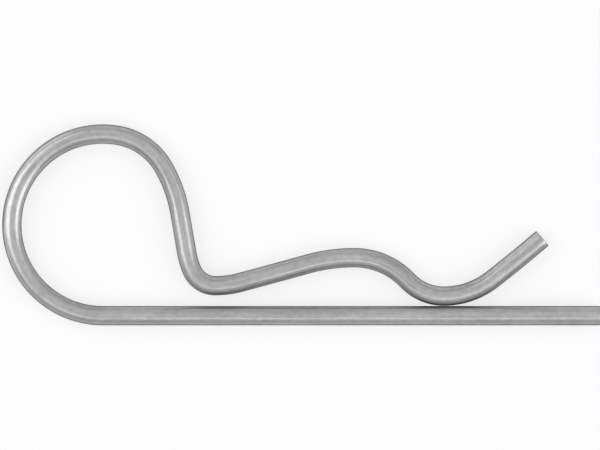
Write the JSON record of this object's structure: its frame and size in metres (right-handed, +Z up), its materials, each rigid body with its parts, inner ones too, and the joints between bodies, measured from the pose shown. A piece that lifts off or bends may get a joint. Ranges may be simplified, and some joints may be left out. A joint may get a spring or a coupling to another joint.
{
  "type": "hitch R clip pin",
  "caption": "R-shaped spring clip of round wire: a straight leg goes through a hitch pin's cross hole and the waved arm snaps over the pin so it can't pull out.",
  "frame": {"origin": "on the surface that the clip lies on, under the middle of its length and width", "axes": "+X along the straight leg, from the spring loop towards the leg's free end; +Y from the leg towards the waved arm; +Z up, square to the plane the wire is bent in"},
  "size_m": [0.1238, 0.0416, 0.004],
  "materials": {
    "plated_spring_steel": "drawn round wire with fine lengthwise lines, thin bright zinc plating, satin to bright"
  },
  "bodies": {
    "root": {"spring_clip": "plated_spring_steel"}
  },
  "joints": []
}
